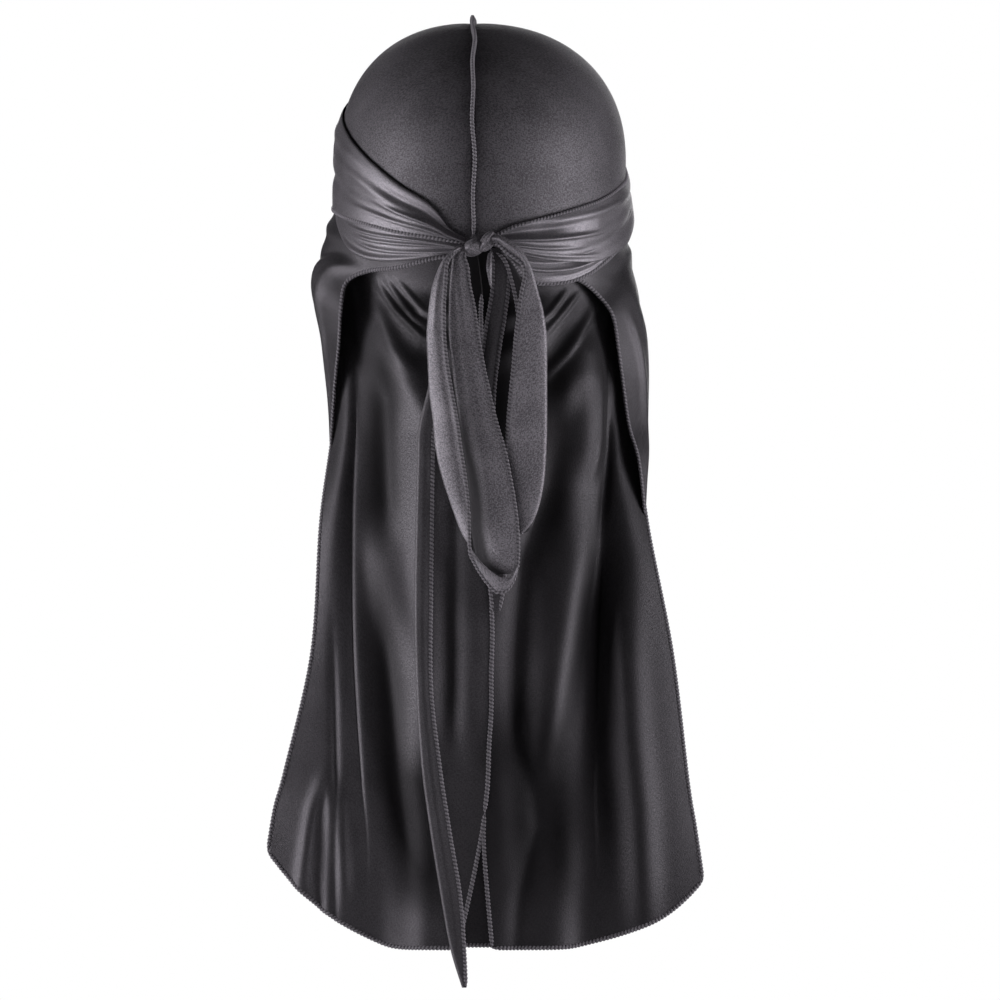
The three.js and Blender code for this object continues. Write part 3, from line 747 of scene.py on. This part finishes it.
# Folds that run down the cape: height towards the back, width, sharpness and line as x, z points
CAPE_FOLDS = [
    (4.5, 7, 0, [(-60, -142), (-31, -176), (0, -190), (28, -178), (50, -146)]),
    (4, 6, 0, [(-48, -142), (-30, -160), (0, -170), (30, -160), (44, -146)]),
    (6, 10, 0, [(-62, -160), (-42, -196), (-27, -225), (-20, -279)]),
    (6, 10, 0, [(-34, -222), (-29, -279), (-28, -350), (-31, -420)]),
    (-7, 9, 0, [(-64, -180), (-58, -212), (-57, -240), (-56, -270), (-54, -300)]),
    (1.6, 9, 0, [(-76, -258), (-56, -305), (-41, -345), (-33, -380), (-31, -410), (-27, -440)]),
    (-8, 9, 0, [(-66, -310), (-57, -350), (-53, -385), (-50, -420), (-46, -450), (-40, -500)]),
    (9, 9, 0.5, [(-72, -190), (-71, -240), (-73, -300), (-71, -359), (-69, -400), (-66, -446),
                 (-62, -500)]),
    (-5, 9, 0, [(-19, -236), (-20, -300), (-19, -380), (-16, -430)]),
    (2.4, 10, 0, [(-6, -310), (-4, -345), (-8, -390), (-12, -420)]),
    (5, 9, 0, [(62, -170), (52, -196), (38, -222)]),
    (6, 8, 0, [(64, -176), (61, -200), (60, -235), (58, -262)]),
    (8, 11, 0, [(62, -262), (48, -325), (40, -370), (36, -400), (29, -440)]),
    (-6, 10, 0, [(44, -222), (38, -260), (24, -300), (21, -350), (22, -420)]),
    (-9, 11, 0, [(74, -280), (69, -324), (70, -380), (72, -436), (76, -510)]),
]
FINE_FOLDS = [
    (1.5, 1.8, 0.5, [(-61, -139), (-54, -151), (-46, -162), (-32, -176), (-14, -186)]),
    (1.3, 1.5, 0.5, [(-56, -139), (-46, -153), (-36, -166), (-20, -177)]),
    (1.3, 1.6, 0.4, [(-50, -140), (-37, -155), (-31, -162), (-16, -171)]),
    (1.5, 1.8, 0.5, [(50, -146), (37, -163), (22, -176)]),
    (1.5, 1.8, 0.5, [(56, -148), (42, -166), (30, -180)]),
    (1.8, 2.6, 0.3, [(65, -152), (59, -166), (46, -186), (30, -204)]),
    (1.6, 3.4, 0, [(-63, -150), (-54, -167), (-46, -184), (-34, -201)]),
    (-2, 3, 0, [(73, -205), (71, -240), (68, -270), (65, -292)]),
    (1.4, 2.8, 0, [(64, -190), (64, -230), (60, -262)]),
]

# Long soft folds in the lower half, some of which run out through the hem
LONG_FOLDS = [
    (-2, 2.4, 0, [(-84, -324), (-83, -370), (-82, -420), (-82, -480), (-84, -540)]),
    (-2.6, 7, 0, [(14, -370), (30, -430), (32, -450), (22, -490), (16, -560)]),
    (2.2, 9, 0, [(6, -400), (9, -450), (8, -490)]),
    (3, 11, 0, [(46, -440), (42, -500), (42, -560)]),
    (3, 10, 0, [(-30, -480), (-30, -510), (-32, -560)]),
    (6, 9, 0, [(80, -290), (81, -350), (84, -400), (88, -440), (91, -500), (94, -540)]),
    (3, 4, 0.2, [(-87, -414), (-94, -440), (-99, -470), (-103, -500)]),
    (-3, 4, 0, [(-90, -425), (-92, -450), (-92, -480), (-90, -520)]),
    (3, 5, 0, [(-85, -414), (-82, -440), (-79, -470), (-77, -500)]),
]

# Painted shade along the hollows between the folds: depth of the painted shade, then as for folds
PAINTED_HOLLOW_SHADE = [
    (1, 16, 0, [(-3, -100), (-3, -172)]),
    (0.9, 8, 0, [(10, -130), (10, -190), (8, -250)]),
    (1, 11, 0, [(-64, -160), (-58, -205), (-57, -250), (-55, -305)]),
    (0.9, 7, 0, [(-52, -146), (-38, -174), (-24, -200)]),
    (1, 11, 0, [(-66, -272), (-56, -340), (-53, -375), (-50, -420), (-43, -455), (-33, -500)]),
    (0.7, 8, 0, [(-18, -285), (-18, -350), (-18, -415)]),
    (0.5, 6, 0, [(23, -300), (20, -360), (22, -420)]),
    (0.9, 9, 0, [(46, -166), (45, -240), (43, -270), (38, -315)]),
    (1, 10, 0, [(72, -262), (67, -325), (67, -380), (69, -430), (74, -505)]),
    (0.9, 11, 0, [(-34, -400), (-33, -450), (-26, -505)]),
    (0.9, 10, 0, [(22, -360), (25, -430), (22, -510)]),
    (0.9, 9, 0, [(42, -370), (44, -430), (48, -510)]),
    (0.4, 12, 0, [(2, -380), (2, -440), (-2, -500)]),
]


def fold_height(x, z, folds):
    height = np.zeros_like(x)
    for tall, wide, sharp, line in folds:
        away, at = beside_line(x, z, line)
        lap = np.where(away > 0, wide * (1 - CAPE_LAP * sharp), wide)
        ends = smooth_step(at, *FOLD_ENDS) * smooth_step(1 - at, *FOLD_ENDS)
        height += tall * np.exp(-((away / lap) ** 2)) * ends
    return height


def cape_points(side, table):
    """The cape's outer face, from the seam to the side edge and from the nape to the hem"""
    u, v = grid(*GRIDS["cape"])
    row = smooth_rows(table, v)
    seam_z, edge_z, roundness, seam_x, seam_y = (row[..., i] for i in range(5))
    z = seam_z + (edge_z - seam_z) * u**HEM_ROUNDNESS
    share = np.clip(u / BACK_SHARE, 0, 1)
    angle = share * math.pi / 2
    start = seam_x - SIDES[side] * SEAM_LAP
    x_share = share + (np.sin(angle) - share) * roundness
    y_share = share**2 + (1 - np.cos(angle) - share**2) * roundness
    x = start + (row[..., 5] - start) * x_share
    y = seam_y + (row[..., 6] - seam_y) * y_share
    run = np.stack([row[..., 5:7], row[..., 7:9], row[..., 9:11]])
    side_run = through_stack(run, np.clip((u - BACK_SHARE) / (1 - BACK_SHARE), 0, 1) * 2)
    at_back = u <= BACK_SHARE
    x = np.where(at_back, x, side_run[..., 0])
    y = np.where(at_back, y, side_run[..., 1])
    points = np.stack([x, y, z], axis=-1)
    for _ in range(SECTION_SMOOTHING):
        points[:, 1:-1] = (points[:, :-2] + 2 * points[:, 1:-1] + points[:, 2:]) / 4
    x, z = points[..., 0], points[..., 2]
    below = np.clip((FOLDS_START["z"] - z) / FOLDS_START["span"], 0, 1)
    folds = fold_height(x, z, CAPE_FOLDS) * np.sqrt(np.maximum(np.cos(angle), 0)) * below
    folds += fold_height(x, z, FINE_FOLDS) * smooth_step(-z, *FINE_START)
    folds += fold_height(x, z, LONG_FOLDS)
    return points + normals(points, backwards(points)) * folds[..., None]


# Where the beads start, as shares of the way down, and how the seam's bead stands off and wanders
SLIT_TOP = 0.83
BEAD_TOP = 0.22
SIDE_HEM_TOP = 0.42
CAPE_FIN = {"off": 0.9, "sway": 0.4}


def cape_row(share):
    """The row of the cape's mesh at a share of the way down"""
    return int(share * GRIDS["cape"][1])


def cape_half(side, table):
    points = cape_points(side, table)
    normal = normals(points, backwards(points))
    points = points + normal * (CLOTH / 2)
    cape = satin_piece(f"cape_{side}", points, CAPE_SATIN, inside=ROOT_SATIN)
    # Painted shade along the hollows between the folds
    paint_shade(cape, np.clip(fold_height(points[..., 0], points[..., 2], PAINTED_HOLLOW_SHADE), 0, 1))
    first = cape_row(SIDE_HEM_TOP)
    slit = cape_row(SLIT_TOP)
    hems = [
        overlock(f"cape_hem_{side}", points[-1], normal[-1], HEM),
        overlock(f"cape_side_hem_{side}", points[first:, -1], normal[first:, -1], HEM),
        overlock(f"cape_slit_hem_{side}", points[slit:, 0], normal[slit:, 0], HEM),
    ]


def cape_seam():
    """The overlocked seam down the cape's middle, to the top of the slit"""
    points = cape_points("right", CAPE_RIGHT)
    bead = points[cape_row(BEAD_TOP):cape_row(SLIT_TOP) + 1, 0]
    line = bead + np.array([0, -CLOTH / 2 - CAPE_FIN["off"], 0])
    overlock("cape_seam", line, backwards(line), HEM, "cape_seam", sway=CAPE_FIN["sway"])


# The cloth behind the slit. Each row: x, y, z of the left edge, then of the right edge
SLIT_UNDERLAP = [
    [-4, -90.2, -450, 5, -89.5, -450],
    [-9, -90.2, -478, 9, -89.2, -478],
    [-18, -90.2, -504, 13, -89.2, -504],
    [-20, -90.2, -516.5, 14, -89.2, -516.5],
]


def underlap():
    """The cloth seen through the slit"""
    u, v = grid(*GRIDS["underlap"])
    row = smooth_rows(SLIT_UNDERLAP, v)
    points = row[..., 0:3] + (row[..., 3:6] - row[..., 0:3]) * u[..., None]
    cloth = satin_piece("slit_underlap", points, CAPE_SATIN)
    hem = overlock("slit_underlap_hem", points[-1], backwards(points[-1]), HEM)


# Hanging parts of the straps. Each row: x, y, z of the left edge, then of the right edge
LOOP_FRONT = [
    [-9, -96.4, -123.1, -9.5, -96.4, -125.4],
    [-14.6, -99.5, -125.4, -15.1, -100.5, -128.2],
    [-19.6, -101, -129.8, -18.5, -103.5, -132],
    [-23.5, -101, -134.3, -20.2, -105, -136.6],
    [-28, -102.5, -146, -20.7, -106.5, -146],
    [-30.2, -103, -159, -21.4, -107.5, -159],
    [-31.4, -103.5, -174.6, -21.3, -108, -174.6],
    [-30.8, -103.5, -190.9, -19.8, -108.5, -190.9],
    [-29.9, -103.5, -206.6, -17.1, -109, -206.6],
    [-28, -102.5, -222.8, -14.2, -109.5, -222.8],
    [-26.3, -104, -239, -12, -109.5, -239],
    [-22.7, -104.5, -254.7, -9.5, -109.5, -254.7],
    [-17.4, -105, -271, -7.8, -109.5, -271],
    [-11.5, -106, -286.6, -7.3, -109.5, -285.6],
    [-6.2, -108, -294, -6.8, -108, -296.5],
    [-2.6, -108.5, -299.6, -4.4, -106.5, -302],
    [1.5, -109, -304, -1, -106, -308],
    [7, -109, -308.5, 3.4, -106, -314],
    [12.5, -109, -311, 8.6, -106, -318.6],
    [16.8, -108.5, -310, 15, -105.5, -316.5],
    [19.6, -106.5, -303, 19.9, -105.5, -307],
]
LOOP_BACK = [
    [-10.6, -97, -126, -9, -97, -127.6],
    [-16.2, -99.5, -129.3, -10, -100.5, -131],
    [-17.5, -100, -137, -8.2, -101.5, -136.6],
    [-18.5, -100, -146, -7.3, -102, -146],
    [-19, -100, -159, -4.6, -102.5, -159],
    [-19, -100, -174.6, -2.4, -103, -174.6],
    [-17.4, -100, -190.9, 0.5, -103.5, -190.9],
    [-15.5, -100, -206.6, 3.9, -104, -206.6],
    [-13.4, -100.5, -222.8, 7.7, -104.5, -222.8],
    [-11.5, -101, -239, 12.5, -105, -239],
    [-9.1, -101.5, -254.7, 15.7, -105.5, -254.7],
    [-7.5, -102, -271, 18.5, -105.5, -271],
    [-6.7, -102.5, -286.6, 20, -105.5, -286.6],
    [-2.8, -103, -302, 20, -105.5, -301],
    [5, -103.5, -309, 19, -105, -308],
]
LOOP_RIGHT = [
    [3.4, -98.5, -123.9, 3.9, -98.5, -118.6],
    [8.4, -100.5, -123.9, 9, -101.5, -118.4],
    [12.2, -102, -127, 14.6, -103.5, -120.9],
    [16.8, -103.5, -130.6, 20.7, -104.5, -125.4],
    [21.8, -104, -134.5, 24.8, -104.5, -131],
    [24.1, -104.5, -140.4, 28.4, -104.5, -139],
    [22, -105, -150.6, 31.7, -104, -150.6],
    [20.6, -105, -162, 34.6, -104, -162],
    [18.9, -105, -174.6, 36.2, -104, -174.6],
    [17.6, -105, -190.9, 36.5, -104, -190.9],
    [16, -104.5, -206.6, 36.5, -104, -206.6],
    [14.6, -103.5, -222.8, 36.5, -104, -222.8],
    [13.6, -102.5, -239, 36, -104, -239],
    [13.5, -101.5, -254.7, 34.9, -103.5, -254.7],
    [15, -101, -266, 32.8, -103, -267],
    [17, -100.5, -274, 29.5, -102, -277],
    [18.5, -99.5, -280, 25.5, -100.5, -283],
    [19.5, -98, -283.5, 22.5, -98.4, -286],
    [18, -97, -276, 29.5, -97.2, -278],
    [18, -96.8, -240, 34, -96.4, -240],
    [20, -97, -192, 34, -96.4, -192],
    [20, -97.5, -162, 31, -97, -162],
    [14, -97.5, -136, 18, -97.2, -136],
    [8, -95.6, -128.4, 10, -95.6, -127.4],
]
STRAP_END_LONG = [
    [-11.9, -94, -125.5, -10.2, -94, -127.9],
    [-22, -97.6, -137, -17.5, -97.6, -138],
    [-28, -98.8, -156, -22.5, -98.8, -156],
    [-29, -99, -195, -22, -99, -195],
    [-35.5, -99, -226, -27, -99, -226],
    [-36.6, -99.5, -250, -27.8, -99.5, -250],
    [-38, -101, -320, -28.6, -101, -320],
    [-37, -103, -372, -28.6, -103, -372],
    [-34, -104, -417, -23.6, -104, -417],
    [-29, -104, -454, -18, -104, -454],
    [-23.5, -103, -488, -12.4, -103, -488],
    [-18, -102, -518, -10, -102, -518],
    [-11.4, -102, -540, -9, -102, -540],
]
STRAP_END_SHORT = [
    [4.6, -93.8, -126, 10, -94, -126],
    [6.1, -96.4, -135, 14.6, -96.4, -135],
    [5.6, -96.4, -150.6, 14.4, -96.4, -150.6],
    [2.8, -96, -166.8, 12.3, -96, -166.8],
    [0.5, -95.8, -182.8, 9.6, -95.8, -182.8],
    [-3, -95.8, -206.6, 6.8, -95.8, -206.6],
    [-6, -95.8, -232, 6.5, -95.8, -232],
    [-4, -96, -262, 9, -96, -262],
    [-1, -97, -288, 12, -97, -288],
    [3.5, -98.5, -310, 12.6, -99, -310],
    [6, -100, -329.5, 9.8, -100, -329],
]
KNOT_TUCK = [
    [3.2, -96.8, -128.4, 5.8, -96.8, -128.8],
    [2.2, -100.5, -136, 5.6, -100.5, -136],
    [3, -100.5, -142, 5.4, -100.5, -142],
    [4.4, -100, -148, 5.6, -100, -148],
]
# The bow of a hanging strap, as a share of its width, and the roll of its plain edge
STRAP_BOW = 0.08
ROLLED_EDGE = {"depth": 0.7, "reach": 0.8}

# Folds on the hanging straps, in the same order as those on the side drapes
HANGING_FOLDS = {
    "loop_left_front": [[0.0, 0.5, 0.3, 0.45, 0.8, 1.6, 0.3], [0.1, 0.8, 0.6, 0.8, -0.5, 2.0, 0.0]],
    "loop_left_back": [[0.0, 0.5, 0.35, 0.5, 0.7, 2.0, 0.0], [0.2, 0.25, 0.9, 0.3, -0.7, 3.0, 0.0]],
    "loop_right": [[0.0, 0.6, 0.2, 0.6, 1.3, 1.5, 0.3], [0.04, 0.25, 0.2, 0.3, -0.9, 1.4, 0.0],
                   [0.24, 0.5, 0.5, 0.5, -0.5, 3.0, 0.0]],
    "strap_end_long": [[0.1, 0.5, 0.9, 0.5, 0.4, 2.0, 0.0]],
    "strap_end_short": [[0.1, 0.5, 0.9, 0.5, 0.5, 2.5, 0.0]],
    "knot_tuck": [],
}
# The left side of the back loop turns in: depth, width at the top and at the turn, and the share of
# the length where it starts and where it is full
TURNED_IN = {"loop_left_back": {"depth": 6, "top": 2.5, "end": 12, "start": 0.3, "full": 0.75}}
# Painted shade on the turned-in side: how far turned in the cloth is where the painted shade starts and
# where it is full
TURNED_IN_PAINTED_SHADE = (0.25, 0.75)


def hanging_strap(name, table, rows, hemmed=(), material=LOOP_SATIN, inner_from=None):
    """A hanging strap: a little proud in its middle, its plain edge rolled under, and its back leg, from
    the share inner_from of its length, in the cape's darker satin: partly the duller back of the cloth,
    partly painted shade"""
    u, v = grid(STRAP_COLUMNS, rows)
    row = smooth_rows(table, v)
    left = row[..., 0:3]
    right = row[..., 3:6]
    span = np.linalg.norm(right - left, axis=-1)
    points = left + (right - left) * u[..., None]
    points[..., 1] -= STRAP_BOW * span * np.sin(u * math.pi)
    normal = normals(points, backwards(points))
    folds = strip_folds(v, u, span[:, :1], HANGING_FOLDS[name])
    for edge, away in (("left", u * span), ("right", (1 - u) * span)):
        if edge not in hemmed:
            folds = folds - ROLLED_EDGE["depth"] * np.exp(-((away / ROLLED_EDGE["reach"]) ** 2))
    points = points + normal * folds[..., None]
    if name in TURNED_IN:
        turned = TURNED_IN[name]
        reach = turned["top"] + (turned["end"] - turned["top"]) * v
        inwards = np.exp(-((u * span / reach) ** 2)) * smooth_step(v, turned["start"], turned["full"])
        points[..., 1] += turned["depth"] * inwards
    strap = satin_piece(name, points, material)
    # The turned-in side gets painted shade
    if name in TURNED_IN:
        paint_shade(strap, smooth_step(inwards, *TURNED_IN_PAINTED_SHADE))
    # The back leg gets the cape's darker satin: the duller back of the cloth, and painted shade
    if inner_from:
        strap.data.materials.append(CAPE_SATIN)
        for face in strap.data.polygons:
            face.material_index = int(face.index // STRAP_COLUMNS >= inner_from * rows)
    for edge in hemmed:
        column = 0 if edge == "left" else -1
        overlock(f"{name}_hem_{edge}", points[:, column], normal[:, column], FINE_HEM)


# The knot: a rounded lobe, and the other strap wrapped over it on the slant
KNOT = {"centre": (-4.6, -94.6, -125.2), "half": (4.8, 6.8, 6.6), "lean": 66, "pleats": 3, "depth": 0.07}
KNOT_WRAP = {
    "centre": (2.8, -96.6, -122.2), "half": (3.6, 5.4, 6.4), "lean": 38, "pleats": 7, "depth": 0.12,
}
PLEAT = {"drift": 0.8, "flatness": 0.6}
LOBE_BLUNTNESS = 0.75


def knot_lobe(name, shape):
    """A rounded lobe of cloth with pleats along its length"""
    around, along = GRIDS["knot"]
    turn, lift = np.meshgrid(np.linspace(0, 2 * math.pi, around, endpoint=False),
                             np.linspace(0, math.pi, along))
    ridge = np.sign(np.cos(turn * shape["pleats"]))
    pleat = np.abs(np.cos(turn * shape["pleats"] + PLEAT["drift"] * np.cos(lift))) ** PLEAT["flatness"]
    swell = 1 + shape["depth"] * ridge * pleat
    radius = np.sin(lift) ** LOBE_BLUNTNESS * swell
    points = np.stack([
        shape["half"][0] * radius * np.cos(turn),
        shape["half"][1] * radius * np.sin(turn),
        shape["half"][2] * np.cos(lift) * np.ones_like(turn),
    ], axis=-1)
    lean = math.radians(shape["lean"])
    x = points[..., 0] * math.cos(lean) + points[..., 2] * math.sin(lean)
    z = -points[..., 0] * math.sin(lean) + points[..., 2] * math.cos(lean)
    points = np.stack([x, points[..., 1], z], axis=-1) + np.array(shape["centre"])
    uvs = np.stack([turn * shape["half"][0], lift * shape["half"][2]], axis=-1).reshape(-1, 2) * MM
    faces = grid_faces(along, around, wraps=True)
    piece = mesh_object(name, points.reshape(-1, 3), faces, uvs, LOOP_SATIN)
    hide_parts(name)


# Build the durag
crown_half("left")
crown_half("right")
crown_seam()
upper_wrap()
lower_wrap("left", LOWER_WRAP_LEFT, LOWER_FOLDS_LEFT, hemmed=False)
lower_wrap("right", LOWER_WRAP_RIGHT, LOWER_FOLDS_RIGHT, hemmed=True)
strap_root("left", ROOT_LEFT)
strap_root("right", ROOT_RIGHT)
cape_half("left", CAPE_LEFT)
cape_half("right", CAPE_RIGHT)
cape_seam()
hanging_strap("loop_left_front", LOOP_FRONT, 240, hemmed=("right",))
hanging_strap("loop_left_back", LOOP_BACK, 200, hemmed=("right",))
hanging_strap("loop_right", LOOP_RIGHT, 300, hemmed=("left",), inner_from=0.74)
hanging_strap("strap_end_long", STRAP_END_LONG, 260, hemmed=("right",), material=ROOT_SATIN)
hanging_strap("strap_end_short", STRAP_END_SHORT, 180, hemmed=("left", "right"), material=ROOT_SATIN)
hanging_strap("knot_tuck", KNOT_TUCK, 40)
knot_lobe("knot", KNOT)
knot_lobe("knot_wrap", KNOT_WRAP)
underlap()


# The studio. The camera's place and view are in millimetres, and all the rest is in metres
CAMERA = {"x": 10, "z": -267, "subject_y": -95, "lens": 1200, "sensor": 36, "view": 560}
CLIP_END = 100
FLOOR = {"reach": 16, "height": -0.95, "shade": 0.85, "roughness": 0.8, "glow": 0.8}
# How bright the surround is as a light, and as the camera sees it
SURROUND = (0.03, 1.0)

# Soft lights: name, place, what each is aimed at, size and watts
LIGHTS = [
    ("front", (0.1, -2.6, 0.1), (0, 0, -0.2), (1.4, 0.7), 5),
    ("left", (-2.0, -0.4, -0.3), (0, 0, -0.25), (1.1, 1.5), 54),
    ("right", (2.0, -0.4, -0.3), (0, 0, -0.25), (1.1, 1.5), 52),
    ("low_left", (-1.6, -1.5, -0.7), (0, 0, -0.4), (0.6, 0.8), 6),
    ("low_right", (1.6, -1.5, -0.7), (0, 0, -0.4), (0.6, 0.8), 7),
    ("forehead_side", (0.3, 2.6, 0.2), (0, 0, -0.25), (1.6, 1.2), 16),
]


def camera():
    data = bpy.data.cameras.new("camera")
    data.lens = CAMERA["lens"]
    data.sensor_width = CAMERA["sensor"]
    data.clip_end = CLIP_END
    eye = add_object("camera", data)
    distance = CAMERA["view"] * CAMERA["lens"] / CAMERA["sensor"]
    eye.location = Vector((CAMERA["x"], CAMERA["subject_y"] - distance, CAMERA["z"])) * MM
    eye.rotation_euler = (math.radians(90), 0, 0)
    bpy.context.scene.camera = eye


def soft_light(name, place, aim, size, power):
    data = bpy.data.lights.new(name, "AREA")
    data.shape = "RECTANGLE"
    data.size, data.size_y = size
    data.energy = power
    lamp = add_object(name, data)
    lamp.location = place
    lamp.rotation_euler = (Vector(aim) - Vector(place)).to_track_quat("-Z", "Y").to_euler()


def floor():
    data = bpy.data.meshes.new("floor")
    corners = [(x * FLOOR["reach"], y * FLOOR["reach"], FLOOR["height"])
               for x, y in ((-1, -1), (1, -1), (1, 1), (-1, 1))]
    data.from_pydata(corners, [], [(0, 1, 2, 3)])
    material, tree, bsdf = shader("pale_floor", (FLOOR["shade"],) * 3, FLOOR["roughness"])
    bsdf.inputs["Emission Color"].default_value = (1, 1, 1, 1)
    ray = add_node(tree, "ShaderNodeLightPath")
    glow = calculate(tree, "MULTIPLY", ray.outputs["Is Camera Ray"], FLOOR["glow"])
    tree.links.new(glow, bsdf.inputs["Emission Strength"])
    data.materials.append(material)
    add_object("floor", data)


def world():
    """A pale surround: white behind the object, dimmer as a light"""
    setting = bpy.data.worlds.new("studio")
    setting.use_nodes = True
    bpy.context.scene.world = setting
    tree = setting.node_tree
    ground = tree.nodes["Background"]
    ground.inputs["Color"].default_value = (1, 1, 1, 1)
    ray = add_node(tree, "ShaderNodeLightPath")
    level = map_range(tree, ray.outputs["Is Camera Ray"], to_span=SURROUND)
    tree.links.new(level, ground.inputs["Strength"])


camera()
floor()
world()
for light in LIGHTS:
    soft_light(*light)
bpy.context.scene.view_settings.view_transform = "Standard"
